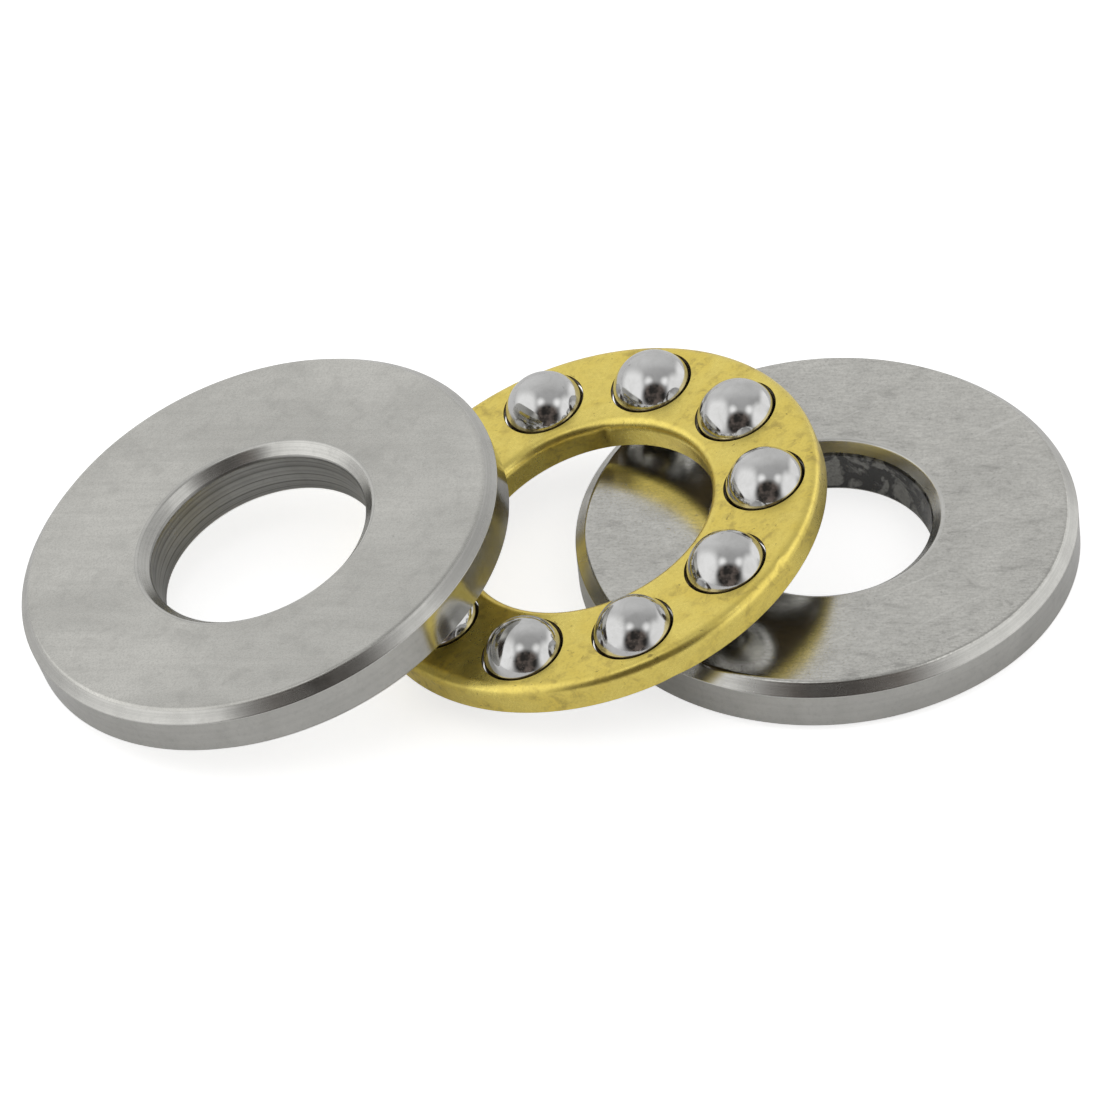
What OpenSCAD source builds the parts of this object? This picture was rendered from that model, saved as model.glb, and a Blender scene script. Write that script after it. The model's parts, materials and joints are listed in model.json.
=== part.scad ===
// Single-direction thrust ball bearing, taken apart and laid out in a row.
// The shaft washer lies flat at the origin, the cage with its balls leans on it,
// and the housing washer leans on the cage. Both washers lie race side down.

/* [Washers] */
// Outside diameter of both washers
washer_od = 24; // [22:0.5:26]
// Bore of the shaft washer
shaft_bore = 10; // [9:0.1:10.5]
// Bore of the housing washer, which clears the shaft
housing_bore = 10.8; // [10:0.1:11]
// Thickness of each washer
washer_t = 2.7; // [2.6:0.05:2.75]
// Chamfer round the back face's outer edge
rim_chamfer = 0.55; // [0.2:0.05:0.7]
// Chamfer round the back face's bore edge
bore_chamfer = 0.55; // [0.2:0.05:0.7]
// Chamfer round the race side's outer edge
race_edge_break = 0.4; // [0.2:0.05:0.5]
// Depth of the ball groove in the race side
groove_depth = 0.185; // [0.1:0.005:0.25]
// Groove radius as a multiple of the ball radius
groove_conformity = 1.08; // [1.04:0.01:1.2]

/* [Balls] */
// Ball diameter
ball_d = 3.969; // [3.9:0.001:4]
// Diameter of the circle through the ball centres
pitch_d = 17.6; // [17.4:0.1:17.7]

/* [Cage] */
// Outside diameter of the cage
cage_od = 22.9; // [22.8:0.1:23.2]
// Diameter of the hole inside the cage
cage_id = 12.2; // [11.8:0.1:12.3]
// Sheet thickness of the cage
cage_sheet = 0.42; // [0.35:0.01:0.5]
// Outside radius of the bends between the web and the flanges
cage_bend = 0.55; // [0.5:0.05:0.7]
// Height of the web's top face above the ball centres
web_height = 0.55; // [0.4:0.05:0.7]
// How far the flanges reach below the ball centres
flange_drop = 1; // [0.8:0.05:1.1]
// Gap between each ball and its pocket
pocket_gap = 0.08; // [0.05:0.01:0.12]
// Turn of the first pocket about the cage's axis
first_pocket = 100; // [90:1:126]

/* [Layout] */
// Distance from the shaft washer's axis to the cage's centre
cage_offset = 11.15; // [11.1:0.01:11.2]
// Sideways shift of the cage's centre
cage_shift = -0.1; // [-0.2:0.05:0.1]
// Angle at which the cage leans on the shaft washer
cage_lean = 13.6; // [13.5:0.1:14]
// Distance from the shaft washer's axis to the housing washer's centre
housing_offset = 26.4; // [26.4:0.01:26.5]
// Sideways shift of the housing washer's centre
housing_shift = 0.35; // [0.2:0.05:0.5]
// Angle at which the housing washer leans on the cage
housing_lean = 14.2; // [14:0.1:14.6]

/* [Hidden] */

BALL_COUNT = 10;
$fn = 144;

ball_r = ball_d / 2;
pitch_r = pitch_d / 2;
outer_r = washer_od / 2;
groove_r = ball_r * groove_conformity;
pocket_r = ball_r + pocket_gap;
cage_r = cage_od / 2;
cage_hole_r = cage_id / 2;
inner_bend = cage_bend - cage_sheet;

// The leaning pieces stand this far clear of the surface they rest on
rest_gap = 0.02;
cage_z = pitch_r * sin(cage_lean) + ball_r + rest_gap;
housing_z = (outer_r - race_edge_break) * sin(housing_lean) + rest_gap;

// Half of a washer's section, race side down, cut by the ball groove
module washer_section(bore_r) {
    difference() {
        polygon([
            [bore_r, 0],
            [outer_r - race_edge_break, 0],
            [outer_r, race_edge_break],
            [outer_r, washer_t - rim_chamfer],
            [outer_r - rim_chamfer, washer_t],
            [bore_r + bore_chamfer, washer_t],
            [bore_r, washer_t - bore_chamfer]
        ]);
        translate([pitch_r, groove_depth - groove_r]) circle(r = groove_r);
    }
}

module washer(bore_d) {
    rotate_extrude() washer_section(bore_d / 2);
}

// A rectangle from the low to the high corner, both top corners rounded
module bent_outline(low_x, high_x, low_y, high_y, bend_r) {
    translate([low_x, low_y]) square([high_x - low_x, high_y - bend_r - low_y]);
    translate([low_x + bend_r, low_y])
        square([high_x - low_x - 2 * bend_r, high_y - low_y]);
    for (x = [low_x + bend_r, high_x - bend_r])
        translate([x, high_y - bend_r]) circle(r = bend_r);
}

// Half of the cage's section: a channel of one sheet, open at the bottom
module cage_section() {
    difference() {
        bent_outline(cage_hole_r, cage_r, -flange_drop, web_height, cage_bend);
        bent_outline(
            cage_hole_r + cage_sheet, cage_r - cage_sheet,
            -flange_drop - cage_sheet, web_height - cage_sheet, inner_bend
        );
    }
}

// Angle of a pocket, counted from 1, about the cage's axis
function pocket_angle(i) = first_pocket + (i - 1) * 360 / BALL_COUNT;

// Places its children in the cage's own frame, with the ball centres at height 0
module in_cage() {
    translate([-cage_offset, cage_shift, cage_z]) rotate([0, -cage_lean, 0]) children();
}

// Places its children at the centre of one pocket
module in_pocket(i) {
    rotate(pocket_angle(i)) translate([pitch_r, 0, 0]) children();
}

module shaft_washer() {
    color("lightsteelblue") washer(shaft_bore);
}

module housing_washer() {
    color("silver")
        translate([-housing_offset, housing_shift, housing_z])
            rotate([0, -housing_lean, 0]) washer(housing_bore);
}

module cage() {
    color("goldenrod")
        in_cage()
            difference() {
                rotate_extrude() cage_section();
                for (i = [1 : BALL_COUNT]) in_pocket(i) sphere(r = pocket_r);
            }
}

module ball(i) {
    color("gainsboro") in_cage() in_pocket(i) sphere(r = ball_r);
}

shaft_washer();
housing_washer();
cage();
for (i = [1 : BALL_COUNT])
    ball(i);
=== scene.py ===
import json
import math

import bmesh
import bpy
from mathutils import Matrix, Vector


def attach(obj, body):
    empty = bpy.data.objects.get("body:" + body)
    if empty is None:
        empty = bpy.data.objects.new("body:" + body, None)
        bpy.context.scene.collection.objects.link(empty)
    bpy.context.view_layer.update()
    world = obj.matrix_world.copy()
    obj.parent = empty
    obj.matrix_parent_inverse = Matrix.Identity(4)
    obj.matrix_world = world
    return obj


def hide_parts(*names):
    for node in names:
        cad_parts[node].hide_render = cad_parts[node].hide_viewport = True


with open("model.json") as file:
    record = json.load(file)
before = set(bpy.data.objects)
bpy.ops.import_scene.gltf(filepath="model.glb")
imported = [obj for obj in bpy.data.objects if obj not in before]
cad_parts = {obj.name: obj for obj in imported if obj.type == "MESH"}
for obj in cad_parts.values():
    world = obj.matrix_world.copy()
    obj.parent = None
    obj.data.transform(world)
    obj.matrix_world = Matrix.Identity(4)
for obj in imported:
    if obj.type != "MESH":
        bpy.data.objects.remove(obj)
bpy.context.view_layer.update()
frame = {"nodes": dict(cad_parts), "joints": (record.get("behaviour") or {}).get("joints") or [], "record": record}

MM = 0.001
MICRON = 0.001 * MM
SCENE = bpy.context.scene
JOINTS = {joint["name"]: joint for joint in frame["joints"]}
MOUNTS = {mount["name"]: mount for mount in frame["record"]["mounts"]}

# ---------------------------------------------------------------- sizes

WASHER_R = MOUNTS["housing_seat"]["dims"]["r_mm"] * MM
SHAFT_BORE_R = MOUNTS["shaft_bore"]["dims"]["r_mm"] * MM
HOUSING_BORE_R = MOUNTS["housing_washer_bore"]["dims"]["r_mm"] * MM
WASHER_T = 2.7 * MM
RIM_CHAMFER = 0.55 * MM
BORE_CHAMFER = 0.55 * MM
RACE_CHAMFER = 0.4 * MM
GROOVE_DEPTH = 0.185 * MM
EDGE_ROUND = 0.05 * MM
CHAMFER_ROUND = 0.25 * MM

BALL_R = 1.9845 * MM
BALL_NAMES = sorted(name for name in frame["nodes"] if name.startswith("ball_"))
PITCH_R = 8.8 * MM
GROOVE_R = 1.08 * BALL_R

CAGE_R = 11.45 * MM
CAGE_HOLE_R = 6.1 * MM
SHEET = 0.42 * MM
BEND_R = 0.55 * MM
SHEET_ROUND = 0.06 * MM
WEB_HEIGHT = 0.55 * MM
FLANGE_DROP = 1.0 * MM
POCKET_GAP = 0.08 * MM
POCKET_LIP = 0.05 * MM

# Rings this far from a rounded edge keep the flat beside it flat
FLAT_HOLD = 0.03 * MM
SHARP_ANGLE = math.radians(30)

# Fineness of the meshes: segments round an axis, and steps along an arc
WASHER_SEGMENTS = 360
CAGE_SEGMENTS = 480
POCKET_SEGMENTS = 144
BALL_CUTS = 28
EDGE_STEPS = 4
BEND_STEPS = 9
GROOVE_STEPS = 16
SEAT_STEPS = 40

# Dents in the cage: angle, radius, height above the ball centres, size and depth
CAGE_DENTS = [
    (math.radians(angle), r * MM, z * MM, size * MM, depth * MM)
    for angle, r, z, size, depth in (
        (78, 6.1, 0.0, 0.25, 0.05),
        (-38, 11.45, 0.2, 0.30, 0.10),
        (-75, 11.45, -0.7, 0.50, 0.06),
        (200, 6.1, -0.6, 0.50, 0.06),
        (150, 11.45, -0.2, 0.40, 0.07),
    )
]

# ---------------------------------------------------------------- node helpers


class Nodes:
    """A short way to write a node tree: each call adds a node and returns its output."""

    def __init__(self, tree, coordinates):
        self.tree = tree
        self.place = tree.nodes.new("ShaderNodeTexCoord").outputs[coordinates]

    def put(self, socket, value):
        if isinstance(value, bpy.types.NodeSocket):
            self.tree.links.new(value, socket)
        else:
            socket.default_value = value

    def add(self, kind, output, inputs, **settings):
        node = self.tree.nodes.new(kind)
        for key, value in settings.items():
            setattr(node, key, value)
        for key, value in inputs.items():
            self.put(node.inputs[key], value)
        return node.outputs[output]

    def stretched(self, length, turn=0.0):
        """Coordinates drawn out by a factor along X, with X turned about Z."""
        inputs = {"Vector": self.place, "Scale": (length, 1, 1), "Rotation": (0, 0, turn)}
        return self.add("ShaderNodeMapping", "Vector", inputs, vector_type="TEXTURE")

    def noise(self, scale, detail=4, roughness=0.55, distortion=0, place=None):
        inputs = {
            "Vector": place or self.place, "Scale": scale, "Detail": detail,
            "Roughness": roughness, "Distortion": distortion,
        }
        return self.add("ShaderNodeTexNoise", "Fac", inputs)

    def spread(self, value, low, high, to_low=0.0, to_high=1.0, kind="LINEAR"):
        inputs = {
            "Value": value, "From Min": low, "From Max": high,
            "To Min": to_low, "To Max": to_high,
        }
        return self.add("ShaderNodeMapRange", "Result", inputs, interpolation_type=kind)

    def math(self, operation, first, second=0.0):
        node = self.tree.nodes.new("ShaderNodeMath")
        node.operation = operation
        self.put(node.inputs[0], first)
        self.put(node.inputs[1], second)
        return node.outputs[0]

    def vector(self, operation, first, second=(0, 0, 0)):
        node = self.tree.nodes.new("ShaderNodeVectorMath")
        node.operation = operation
        self.put(node.inputs[0], first)
        self.put(node.inputs[1], second)
        return node.outputs["Value" if operation == "DOT_PRODUCT" else "Vector"]

    def mix(self, factor, first, second, blend="MIX"):
        node = self.tree.nodes.new("ShaderNodeMix")
        node.data_type = "RGBA"
        node.blend_type = blend
        self.put(node.inputs[0], factor)
        self.put(node.inputs[6], first)
        self.put(node.inputs[7], second)
        return node.outputs[2]

    def bump(self, height, distance, strength=1.0, below=None):
        inputs = {"Height": height, "Distance": distance, "Strength": strength}
        if below is not None:
            inputs["Normal"] = below
        return self.add("ShaderNodeBump", "Normal", inputs)


class Shader(Nodes):
    """The node tree of a new material."""

    def __init__(self, name):
        self.material = bpy.data.materials.new(name)
        self.material.use_nodes = True
        super().__init__(self.material.node_tree, "Object")
        self.surface = self.tree.nodes["Principled BSDF"]

    def radius(self):
        """Distance from the piece's own axis, and height along it."""
        parts = self.add("ShaderNodeSeparateXYZ", "X", {"Vector": self.place}).node
        x, y, z = parts.outputs
        squares = self.math("ADD", self.math("MULTIPLY", x, x), self.math("MULTIPLY", y, y))
        return self.math("SQRT", squares), z

    def rings(self):
        """Coordinates that change only along the radius and the height."""
        radius, z = self.radius()
        return self.add("ShaderNodeCombineXYZ", "Vector", {"X": radius, "Y": z})

    def finish(self, **sockets):
        for key, value in sockets.items():
            self.put(self.surface.inputs[key.replace("_", " ")], value)
        return self.material


def grey(level, warmth=0.025):
    """A grey that leans a little towards yellow."""
    return tuple(level * (1 + warmth * part) for part in (1, 0.6, -1.4)) + (1,)


# ---------------------------------------------------------------- materials

# Noise scales count cells per metre.
# Directions of the grinding marks and the scratches in each washer's own frame
HOUSING_GRAIN = math.radians(-24)
SHAFT_GRAIN = math.radians(-9)
SCRATCH_TURN = math.radians(26)


def smooth_face():
    """The housing washer's back face: fine parallel grinding marks and faint clouds."""
    s = Shader("steel_smooth_face")
    fine = s.noise(9000, 3, 0.6, place=s.stretched(12, HOUSING_GRAIN))
    marks = s.noise(3200, 4, 0.6, place=s.stretched(18, HOUSING_GRAIN))
    grain = s.noise(11000, 2, 0.6)
    clouds = s.noise(230, 3, 0.5, 0.4, place=s.stretched(1.8, HOUSING_GRAIN))
    pits = s.spread(s.noise(2600, 2, 0.5), 0.735, 0.79)
    smudges = s.math("MULTIPLY", s.spread(s.noise(900, 5, 0.65, 0.3), 0.50, 0.68), clouds)
    tone = s.mix(s.spread(clouds, 0.38, 0.64), grey(0.69, 0.03), grey(0.58, 0.03))
    tone = s.mix(smudges, tone, grey(0.48, 0.03))
    tone = s.mix(s.spread(marks, 0.40, 0.75, 0, 0.28), tone, grey(0.46, 0.03))
    tone = s.mix(s.spread(grain, 0.42, 0.70, 0, 0.45), tone, grey(0.42, 0.03))
    tone = s.mix(s.math("MULTIPLY", pits, 0.5), tone, grey(0.28, 0.03))
    rough = s.spread(s.math("ADD", fine, clouds), 0.7, 1.3, 0.20, 0.30)
    normal = s.bump(fine, 2.5 * MICRON, 0.4)
    normal = s.bump(marks, 3 * MICRON, 0.2, normal)
    return s.finish(Base_Color=tone, Metallic=1.0, Roughness=rough, Normal=normal)


def rough_face():
    """The shaft washer's back face: duller, with smudges, pits and short scratches."""
    s = Shader("steel_rough_face")
    fine = s.noise(8000, 4, 0.7, place=s.stretched(4.5, SHAFT_GRAIN))
    grain = s.noise(7500, 3, 0.7)
    smudges = s.noise(1500, 6, 0.72, 0.5, place=s.stretched(1.7, SHAFT_GRAIN))
    clouds = s.noise(260, 4, 0.6, 0.8)
    slant = s.noise(2400, 3, 0.6, place=s.stretched(16, SCRATCH_TURN))
    scratches = s.spread(slant, 0.66, 0.72)
    patches = s.math("MULTIPLY", s.spread(smudges, 0.52, 0.66), s.spread(clouds, 0.42, 0.62))
    pits = s.spread(s.noise(3000, 3, 0.6), 0.66, 0.74)
    tone = s.mix(s.spread(clouds, 0.35, 0.65), grey(0.70, 0.03), grey(0.62, 0.03))
    tone = s.mix(s.spread(fine, 0.40, 0.72, 0, 0.65), tone, grey(0.44, 0.03))
    tone = s.mix(s.spread(grain, 0.45, 0.72, 0, 0.55), tone, grey(0.36, 0.03))
    tone = s.mix(s.math("MULTIPLY", patches, 0.65), tone, grey(0.33, 0.03))
    tone = s.mix(s.math("MULTIPLY", pits, 0.45), tone, grey(0.24, 0.03))
    tone = s.mix(s.math("MULTIPLY", scratches, 0.35), tone, grey(0.80))
    rough = s.spread(s.math("ADD", grain, clouds), 0.7, 1.3, 0.14, 0.24)
    normal = s.bump(fine, 4 * MICRON, 0.6)
    normal = s.bump(smudges, 6 * MICRON, 0.3, normal)
    normal = s.bump(pits, -8 * MICRON, 0.5, normal)
    return s.finish(Base_Color=tone, Metallic=1.0, Roughness=rough, Normal=normal)


def turned_steel(name, level, roughness, lines, depth, contrast=0.25):
    """A turned surface: fine rings round the axis, over faint patches."""
    s = Shader(name)
    rings = s.noise(lines, 3, 0.7, place=s.rings())
    patches = s.noise(420, 5, 0.6, 0.4)
    specks = s.noise(4200, 4, 0.7)
    tone = s.mix(s.spread(patches, 0.35, 0.7), grey(level), grey(level * 0.86))
    tone = s.mix(s.spread(rings, 0.46, 0.62, 0, contrast), tone, grey(level * 0.40))
    tone = s.mix(s.spread(specks, 0.50, 0.72, 0, 0.30), tone, grey(level * 0.6))
    rough = s.spread(patches, 0.3, 0.7, roughness * 0.8, roughness * 1.25)
    normal = s.bump(rings, depth, 0.6)
    return s.finish(Base_Color=tone, Metallic=1.0, Roughness=rough, Normal=normal)


def marbled_bore():
    """The shaft washer's ground bore: bright curls on dark steel, the dark steel being painted shade of the hole.
    """
    s = Shader("steel_marbled_bore_painted_shade")
    curls = s.noise(520, 3, 0.55, 2.2)
    grain = s.noise(6000, 3, 0.7)
    # Painted shade: these greys stay far below the faces' to stand in for the shade inside the bore.
    tone = s.mix(s.spread(curls, 0.46, 0.56), grey(0.12, 0.015), grey(0.36, 0.03))
    tone = s.mix(s.spread(grain, 0.45, 0.7, 0, 0.5), tone, grey(0.09, 0.01))
    rough = s.spread(curls, 0.4, 0.6, 0.24, 0.36)
    normal = s.bump(grain, 4 * MICRON, 0.5)
    return s.finish(Base_Color=tone, Metallic=1.0, Roughness=rough, Normal=normal)


def pressed_brass():
    """Pressed brass: satin, slightly uneven, with brown tarnish, specks and rubbed patches."""
    s = Shader("brass_pressed")
    grain = s.noise(8500, 4, 0.7)
    mottle = s.noise(1500, 5, 0.65, 0.4)
    clouds = s.noise(330, 5, 0.6, 0.8)
    stains = s.math("MULTIPLY", s.spread(mottle, 0.50, 0.66), s.spread(clouds, 0.44, 0.60))
    specks = s.spread(s.noise(2600, 3, 0.6, 0.5), 0.67, 0.74)
    tone = s.mix(s.spread(clouds, 0.35, 0.65), (0.98, 0.81, 0.22, 1), (0.93, 0.74, 0.17, 1))
    tone = s.mix(s.spread(mottle, 0.45, 0.70, 0, 0.30), tone, (0.72, 0.57, 0.15, 1))
    tone = s.mix(s.spread(grain, 0.45, 0.72, 0, 0.35), tone, (0.60, 0.46, 0.10, 1))
    tone = s.mix(s.math("MULTIPLY", stains, 0.55), tone, (0.44, 0.34, 0.11, 1))
    tone = s.mix(s.math("MULTIPLY", specks, 0.60), tone, (0.22, 0.16, 0.06, 1))
    rough = s.spread(s.math("ADD", clouds, grain), 0.7, 1.3, 0.24, 0.38)
    normal = s.bump(grain, 3.5 * MICRON, 0.5)
    normal = s.bump(mottle, 10 * MICRON, 0.3, normal)
    normal = s.bump(clouds, 30 * MICRON, 0.3, normal)
    return s.finish(Base_Color=tone, Metallic=1.0, Roughness=rough, Normal=normal)


def painted_shade_brass():
    """The inside of the cage and its pockets: dull dark brown brass, painted shade for the channel's hollow and
    the gaps round the balls.
    """
    s = Shader("brass_painted_shade")
    grain = s.noise(5000, 3, 0.7)
    # Painted shade: the dark brown stands in for the shadow inside the channel and on the pocket walls.
    tone = s.mix(s.spread(grain, 0.4, 0.65), (0.20, 0.145, 0.06, 1), (0.09, 0.065, 0.03, 1))
    normal = s.bump(grain, 6 * MICRON, 0.5)
    return s.finish(Base_Color=tone, Metallic=1.0, Roughness=0.42, Normal=normal)


def polished_ball():
    """Mirror-polished chrome steel with hair-fine scuffs."""
    s = Shader("steel_polished_ball")
    scuffs = s.noise(3800, 4, 0.7, 1.5)
    smears = s.noise(900, 4, 0.6, 0.5)
    spots = s.spread(s.noise(2600, 3, 0.6), 0.68, 0.75)
    tone = s.mix(s.spread(smears, 0.4, 0.7), grey(0.68, 0.004), grey(0.57, 0.008))
    tone = s.mix(s.math("MULTIPLY", spots, 0.5), tone, grey(0.35, 0.01))
    rough = s.spread(scuffs, 0.45, 0.75, 0.07, 0.17)
    normal = s.bump(scuffs, 0.8 * MICRON, 0.35)
    return s.finish(Base_Color=tone, Metallic=1.0, Roughness=rough, Normal=normal)


HOUSING_FACE = smooth_face()
SHAFT_FACE = rough_face()
CHAMFER = turned_steel("steel_turned_chamfer", 0.66, 0.24, 9000, 4 * MICRON)
WALL = turned_steel("steel_ground_wall", 0.56, 0.16, 3000, 1 * MICRON, 0.12)
# Painted shade: the bore's steel is set darker than the chamfers and the race to stand in for the shade inside the
# hole; the rings are its turning marks.
HOUSING_BORE = turned_steel("steel_turned_bore_painted_shade", 0.40, 0.32, 4600, 30 * MICRON, 0.85)
SHAFT_BORE = marbled_bore()
RACE = turned_steel("steel_raceway", 0.70, 0.14, 7000, 2 * MICRON)
BRASS = pressed_brass()
# Painted shade for the cage's hollows and pocket walls.
BRASS_PAINTED_SHADE = painted_shade_brass()
BALL = polished_ball()

# ---------------------------------------------------------------- mesh helpers


def rounded_corner(before, corner, after, radius, steps):
    """Points of the arc that rounds a corner, with one more on each side to keep the flats flat."""
    into = (Vector(before) - Vector(corner)).normalized()
    out = (Vector(after) - Vector(corner)).normalized()
    half = into.angle(out) / 2
    reach = radius / math.tan(half)
    centre = Vector(corner) + (into + out).normalized() * radius / math.sin(half)
    start = Vector(corner) + into * reach - centre
    end = Vector(corner) + out * reach - centre
    turn = start.angle_signed(end)
    arc = [
        tuple(centre + Matrix.Rotation(-turn * k / steps, 2) @ start)
        for k in range(steps + 1)
    ]
    held = [tuple(Vector(corner) + way * (reach + FLAT_HOLD)) for way in (into, out)]
    return [held[0], *arc, held[1]]


def rounded_outline(corners, steps):
    """A closed outline from (point, radius, zone) corners. Gives (point, zone of the next edge)."""
    outline = []
    for k, (corner, radius, zone) in enumerate(corners):
        if radius == 0:
            outline.append((corner, zone))
            continue
        before = corners[k - 1][0]
        after = corners[(k + 1) % len(corners)][0]
        arc = rounded_corner(before, corner, after, radius, steps)
        outline += [(point, zone) for point in arc]
    return outline


def lathe(name, outline, materials, segments, closed=True):
    """Turns an outline of ((radius, height), zone) round Z. A zone is an index into materials.

    An outline that isn't closed gets a flat cap at each end.
    """
    made = bmesh.new()
    angles = [2 * math.pi * k / segments for k in range(segments)]
    rings = [
        [made.verts.new((r * math.cos(a), r * math.sin(a), z)) for a in angles]
        for (r, z), _ in outline
    ]
    if not closed:
        for ring, (_, zone) in ((rings[0], outline[0]), (rings[-1], outline[-1])):
            made.faces.new(ring).material_index = zone
    for k in range(len(rings) if closed else len(rings) - 1):
        ring, following = rings[k], rings[(k + 1) % len(rings)]
        for j in range(segments):
            after = (j + 1) % segments
            face = made.faces.new((ring[j], ring[after], following[after], following[j]))
            face.smooth = True
            face.material_index = outline[k][1]
    bmesh.ops.recalc_face_normals(made, faces=made.faces)
    return finished(name, made, materials)


def finished(name, made, materials):
    """A new object from a bmesh, in the scene and with its materials."""
    mesh = bpy.data.meshes.new(name)
    made.to_mesh(mesh)
    made.free()
    mesh.set_sharp_from_angle(angle=SHARP_ANGLE)
    for material in materials:
        mesh.materials.append(material)
    piece = bpy.data.objects.new(name, mesh)
    SCENE.collection.objects.link(piece)
    return piece


def joint_place(joint):
    """The frame at a joint: its origin on the joint, its Z along the axis, its Y level."""
    up = Vector(joint["axis"]).normalized()
    across = Vector((0, 1, 0))
    if abs(up.dot(across)) > 0.9:
        across = Vector((0, 0, 1))
    right = across.cross(up).normalized()
    across = up.cross(right)
    turn = Matrix((right, across, up)).transposed().to_4x4()
    return Matrix.Translation(joint["pos_m"]) @ turn


# ---------------------------------------------------------------- pieces

# Indices into each piece's own list of materials
FACE_ZONE, CHAMFER_ZONE, WALL_ZONE, BORE_ZONE, RACE_ZONE = range(5)
# The cage's second zone holds the painted-shade brass of its hollows and pocket walls.
SHEET_ZONE, PAINTED_SHADE_ZONE = range(2)


def washer(name, body, bore_r, place, face, bore):
    """A race washer, race side down, with its edges broken and the ball groove cut."""
    half_groove = math.sqrt(GROOVE_R**2 - (GROOVE_R - GROOVE_DEPTH) ** 2)
    sweep = math.asin(half_groove / GROOVE_R)
    groove = []
    for k in range(GROOVE_STEPS + 1):
        a = -sweep + 2 * sweep * k / GROOVE_STEPS
        r = PITCH_R + GROOVE_R * math.sin(a)
        z = GROOVE_DEPTH - GROOVE_R + GROOVE_R * math.cos(a)
        groove.append(((r, z), 0, RACE_ZONE))
    top = WASHER_T
    corners = [
        ((bore_r, 0), EDGE_ROUND, FACE_ZONE),
        *groove[:-1],
        (groove[-1][0], 0, FACE_ZONE),
        ((WASHER_R - RACE_CHAMFER, 0), EDGE_ROUND, CHAMFER_ZONE),
        ((WASHER_R, RACE_CHAMFER), EDGE_ROUND, WALL_ZONE),
        ((WASHER_R, top - RIM_CHAMFER), EDGE_ROUND, CHAMFER_ZONE),
        ((WASHER_R - RIM_CHAMFER, top), CHAMFER_ROUND, FACE_ZONE),
        ((bore_r + BORE_CHAMFER, top), CHAMFER_ROUND, CHAMFER_ZONE),
        ((bore_r, top - BORE_CHAMFER), CHAMFER_ROUND, BORE_ZONE),
    ]
    materials = [face, CHAMFER, WALL, bore, RACE]
    piece = lathe(name, rounded_outline(corners, EDGE_STEPS), materials, WASHER_SEGMENTS)
    piece.matrix_world = place
    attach(piece, body)
    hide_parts(body)


def sphere_mesh(name, radius, materials):
    """An even sphere: a cube's faces cut into a grid and pushed out to the radius."""
    made = bmesh.new()
    bmesh.ops.create_cube(made, size=2)
    bmesh.ops.subdivide_edges(made, edges=made.edges, cuts=BALL_CUTS, use_grid_fill=True)
    for vertex in made.verts:
        even = Vector([math.tan(value * math.pi / 4) for value in vertex.co])
        vertex.co = even.normalized() * radius
    for face in made.faces:
        face.smooth = True
    return finished(name, made, materials)


def apply_modifiers(piece):
    """Bakes a piece's modifiers into its mesh."""
    graph = bpy.context.evaluated_depsgraph_get()
    mesh = bpy.data.meshes.new_from_object(piece.evaluated_get(graph))
    piece.modifiers.clear()
    piece.data = mesh
    mesh.set_sharp_from_angle(angle=SHARP_ANGLE)


def pocket_cutter(name, materials):
    """A ball seat that opens into a small lip at the web's top face."""
    seat_r = BALL_R + POCKET_GAP
    top = math.asin((WEB_HEIGHT - POCKET_LIP) / seat_r)
    outline = []
    # The seat's faces become the pocket walls, in the painted-shade brass.
    for k in range(1, SEAT_STEPS + 1):
        a = -math.pi / 2 + (top + math.pi / 2) * k / SEAT_STEPS
        outline.append(((seat_r * math.cos(a), seat_r * math.sin(a)), PAINTED_SHADE_ZONE))
    edge = outline[-1][0][0]
    outline.append(((edge + POCKET_LIP / 2, WEB_HEIGHT), SHEET_ZONE))
    outline.append(((edge + 2 * POCKET_LIP, WEB_HEIGHT + 2 * POCKET_LIP), PAINTED_SHADE_ZONE))
    return lathe(name, outline, materials, POCKET_SEGMENTS, closed=False)


def press_dents(piece):
    """Shallow dents and a nick left by the press and by handling, pushed into the sheet."""
    for angle, r, z, size, depth in CAGE_DENTS:
        centre = Vector((r * math.cos(angle), r * math.sin(angle), z))
        inward = Vector((math.cos(angle), math.sin(angle), 0)) * (1 if r < PITCH_R else -1)
        for vertex in piece.data.vertices:
            away = (vertex.co - centre).length / size
            if away < 3:
                vertex.co += inward * depth * math.exp(-away * away)


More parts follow.
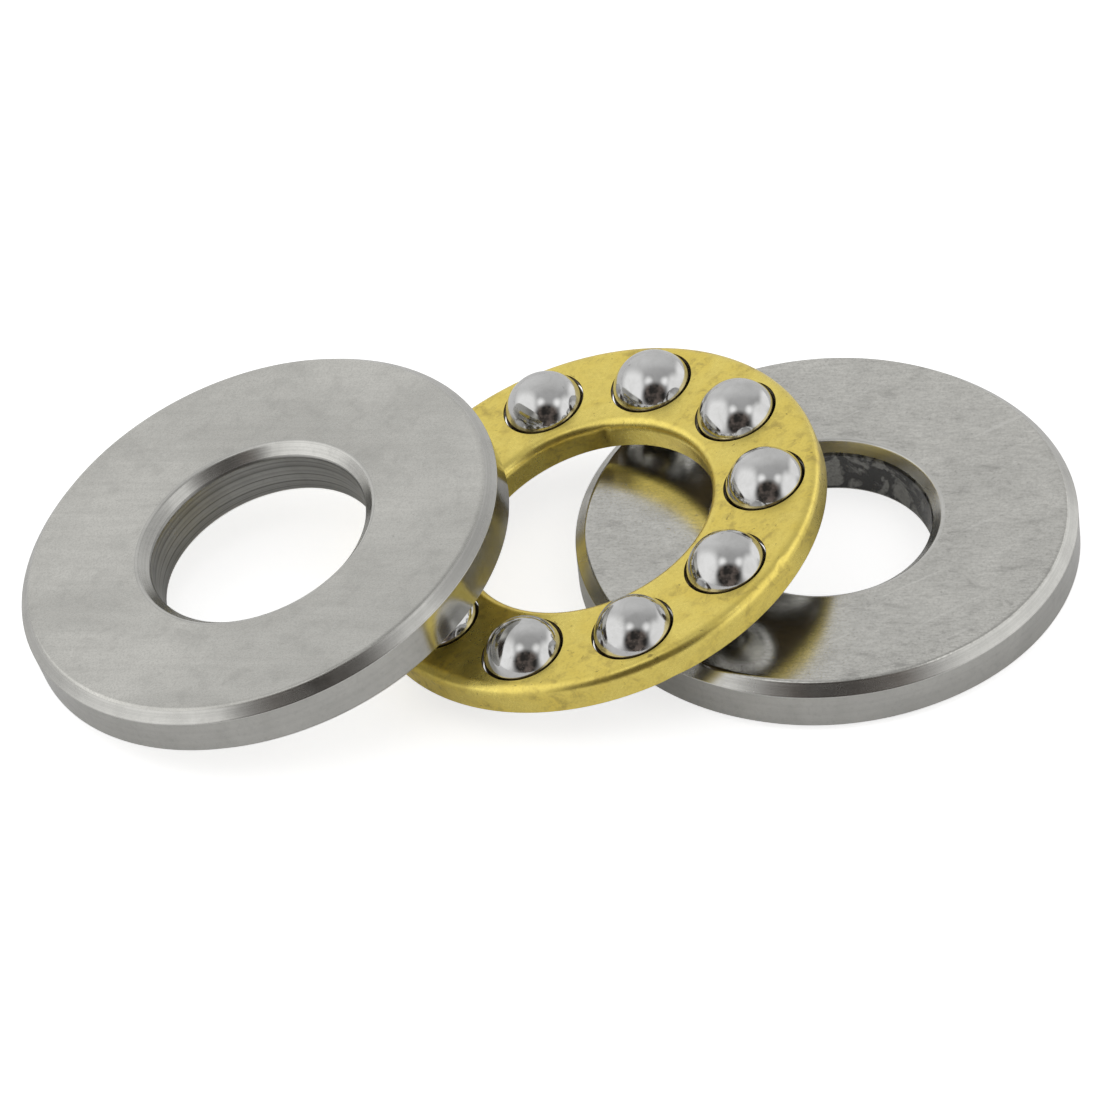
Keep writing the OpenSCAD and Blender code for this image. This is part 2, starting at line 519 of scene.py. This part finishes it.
def cage():
    """The pressed channel with its pockets, each a seat a little wider than its ball."""
    inner = BEND_R - SHEET
    low, high = -FLANGE_DROP, WEB_HEIGHT
    # The channel's inner faces take the painted-shade brass.
    corners = [
        ((CAGE_HOLE_R, low), SHEET_ROUND, SHEET_ZONE),
        ((CAGE_HOLE_R + SHEET, low), SHEET_ROUND, PAINTED_SHADE_ZONE),
        ((CAGE_HOLE_R + SHEET, high - SHEET), inner, PAINTED_SHADE_ZONE),
        ((CAGE_R - SHEET, high - SHEET), inner, PAINTED_SHADE_ZONE),
        ((CAGE_R - SHEET, low), SHEET_ROUND, SHEET_ZONE),
        ((CAGE_R, low), SHEET_ROUND, SHEET_ZONE),
        ((CAGE_R, high), BEND_R, SHEET_ZONE),
        ((CAGE_HOLE_R, high), BEND_R, SHEET_ZONE),
    ]
    materials = [BRASS, BRASS_PAINTED_SHADE]
    outline = rounded_outline(corners, BEND_STEPS)
    piece = lathe("pressed_cage", outline, materials, CAGE_SEGMENTS)
    press_dents(piece)
    place = joint_place(JOINTS["cage_spin"])
    piece.matrix_world = place
    cutters = []
    for name in BALL_NAMES:
        cutter = pocket_cutter("cutter_" + name, materials)
        centre = Vector(JOINTS[name + "_roll"]["pos_m"])
        cutter.matrix_world = Matrix.Translation(centre - place.translation) @ place
        cutters.append(cutter)
    bpy.context.view_layer.update()
    for cutter in cutters:
        cut = piece.modifiers.new(cutter.name, "BOOLEAN")
        cut.operation = "DIFFERENCE"
        cut.solver = "EXACT"
        cut.object = cutter
    apply_modifiers(piece)
    for cutter in cutters:
        bpy.data.objects.remove(cutter)
    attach(piece, "cage")
    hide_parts("cage")


def ball(name):
    piece = sphere_mesh("polished_" + name, BALL_R, [BALL])
    piece.matrix_world = joint_place(JOINTS[name + "_roll"])
    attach(piece, name)
    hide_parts(name)


washer(
    "ground_shaft_washer", "shaft_washer", SHAFT_BORE_R, Matrix.Identity(4),
    SHAFT_FACE, SHAFT_BORE,
)
washer(
    "ground_housing_washer", "housing_washer", HOUSING_BORE_R,
    joint_place(JOINTS["housing_washer_spin"]), HOUSING_FACE, HOUSING_BORE,
)
cage()
for ball_name in BALL_NAMES:
    ball(ball_name)

# ---------------------------------------------------------------- floor, light and camera


CAMERA_ELEVATION = math.radians(42.04)
CAMERA_ROLL = math.radians(6.31)
CAMERA_DISTANCE = 515.4 * MM
CAMERA_TARGET = Vector((-13.22, 2.47, 0.3)) * MM
CAMERA_SENSOR_MM = 36
CAMERA_LENS_MM = 352.2

FRONT = Vector((0, -math.cos(CAMERA_ELEVATION), math.sin(CAMERA_ELEVATION)))
LEVEL_UP = Vector((0, math.sin(CAMERA_ELEVATION), math.cos(CAMERA_ELEVATION)))
TENT_RIGHT = Vector((math.cos(CAMERA_ROLL), 0, 0)) - LEVEL_UP * math.sin(CAMERA_ROLL)
TENT_UP = Vector((math.sin(CAMERA_ROLL), 0, 0)) + LEVEL_UP * math.cos(CAMERA_ROLL)


FLOOR_HALF_SIZE = 3
FLOOR_GLOW = 0.10
FLOOR_GLOW_SEEN = 0.70


def floor():
    """A plain white sheet under the object, brighter to the camera than to other rays."""
    made = bmesh.new()
    bmesh.ops.create_grid(made, x_segments=1, y_segments=1, size=FLOOR_HALF_SIZE)
    s = Shader("floor_white")
    s.finish(Base_Color=(0.86, 0.86, 0.86, 1), Roughness=0.9)
    s.surface.inputs["Emission Color"].default_value = (1, 1, 1, 1)
    seen = s.add("ShaderNodeLightPath", "Is Camera Ray", {})
    glow = s.spread(seen, 0, 1, FLOOR_GLOW, FLOOR_GLOW_SEEN)
    s.put(s.surface.inputs["Emission Strength"], glow)
    sheet = finished("floor", made, [s.material])


def tent_oval(s, across, up, centre, radii, soft, squareness=2):
    """1 inside an oval of the tent, falling softly to 0 outside it."""
    x = s.math("DIVIDE", s.math("SUBTRACT", across, centre[0]), radii[0])
    y = s.math("DIVIDE", s.math("SUBTRACT", up, centre[1]), radii[1])
    x = s.math("POWER", s.math("ABSOLUTE", x), squareness)
    y = s.math("POWER", s.math("ABSOLUTE", y), squareness)
    far = s.math("POWER", s.math("ADD", x, y), 1 / squareness)
    return s.spread(far, 1 - soft, 1 + soft, 1, 0, "SMOOTHSTEP")


# The tent's parts on the disc that a small mirror ball shows: centre and radii
DOME = ((0.055, 0.275), (0.29, 0.27))
LAMPS = [((x, 0.22), (0.08, 0.09)) for x in (-0.15, 0.245)]
PANELS = [
    ((-0.52, 0.07), (0.25, 0.41)),
    ((0.51, 0.07), (0.19, 0.31)),
    ((0.72, 0.50), (0.20, 0.25)),
]
OPENING = ((0.0, -0.12), (0.29, 0.30))
DOME_GREY, LAMP_WHITE, PANEL_WHITE = (
    (level, level, level, 1) for level in (0.50, 1.15, 1.05)
)


def studio():
    """A light tent: cloth, a duller dome with two lamps, bright panels and a dark opening.

    It is drawn by direction, on the disc that a small mirror ball would show from the front.
    """
    world = bpy.data.worlds.new("studio")
    world.use_nodes = True
    s = Nodes(world.node_tree, "Generated")
    halfway = s.vector("NORMALIZE", s.vector("ADD", s.place, FRONT))
    across = s.vector("DOT_PRODUCT", halfway, TENT_RIGHT)
    up = s.vector("DOT_PRODUCT", halfway, TENT_UP)
    cloth = s.spread(across, -0.45, 0.25, 0.78, 0.65)
    cloth = s.math("MULTIPLY", cloth, s.spread(up, 0.25, 0.75, 0.55, 1.0, "SMOOTHSTEP"))
    tint = s.add("ShaderNodeCombineXYZ", "Vector", {"X": cloth, "Y": cloth, "Z": cloth})
    dome = tent_oval(s, across, up, *DOME, 0.2)
    tint = s.mix(s.math("MULTIPLY", dome, 0.6), tint, DOME_GREY)
    for place in LAMPS:
        tint = s.mix(tent_oval(s, across, up, *place, 0.8), tint, LAMP_WHITE)
    for place in PANELS:
        tint = s.mix(tent_oval(s, across, up, *place, 0.35, 3), tint, PANEL_WHITE)
    shapes = s.noise(3.5, 3, 0.5)
    gloom = s.mix(s.spread(shapes, 0.40, 0.65), (0.03, 0.028, 0.026, 1), (0.16, 0.13, 0.115, 1))
    tint = s.mix(tent_oval(s, across, up, *OPENING, 0.25), tint, gloom)
    background = world.node_tree.nodes["Background"]
    s.put(background.inputs["Color"], tint)
    SCENE.world = world


def camera():
    """Looks along +Y from above at a long focal length, rolled a little."""
    lens = bpy.data.cameras.new("camera")
    lens.sensor_width = CAMERA_SENSOR_MM
    lens.lens = CAMERA_LENS_MM
    lens.clip_start, lens.clip_end = 0.01, 20
    eye = bpy.data.objects.new("camera", lens)
    eye.location = CAMERA_TARGET + FRONT * CAMERA_DISTANCE
    eye.rotation_mode = "QUATERNION"
    level = (-FRONT).to_track_quat("-Z", "Y")
    turned = Matrix.Rotation(-CAMERA_ROLL, 3, "Z").to_quaternion()
    eye.rotation_quaternion = level @ turned
    SCENE.collection.objects.link(eye)
    SCENE.camera = eye


floor()
studio()
camera()
SCENE.view_settings.view_transform = "Standard"
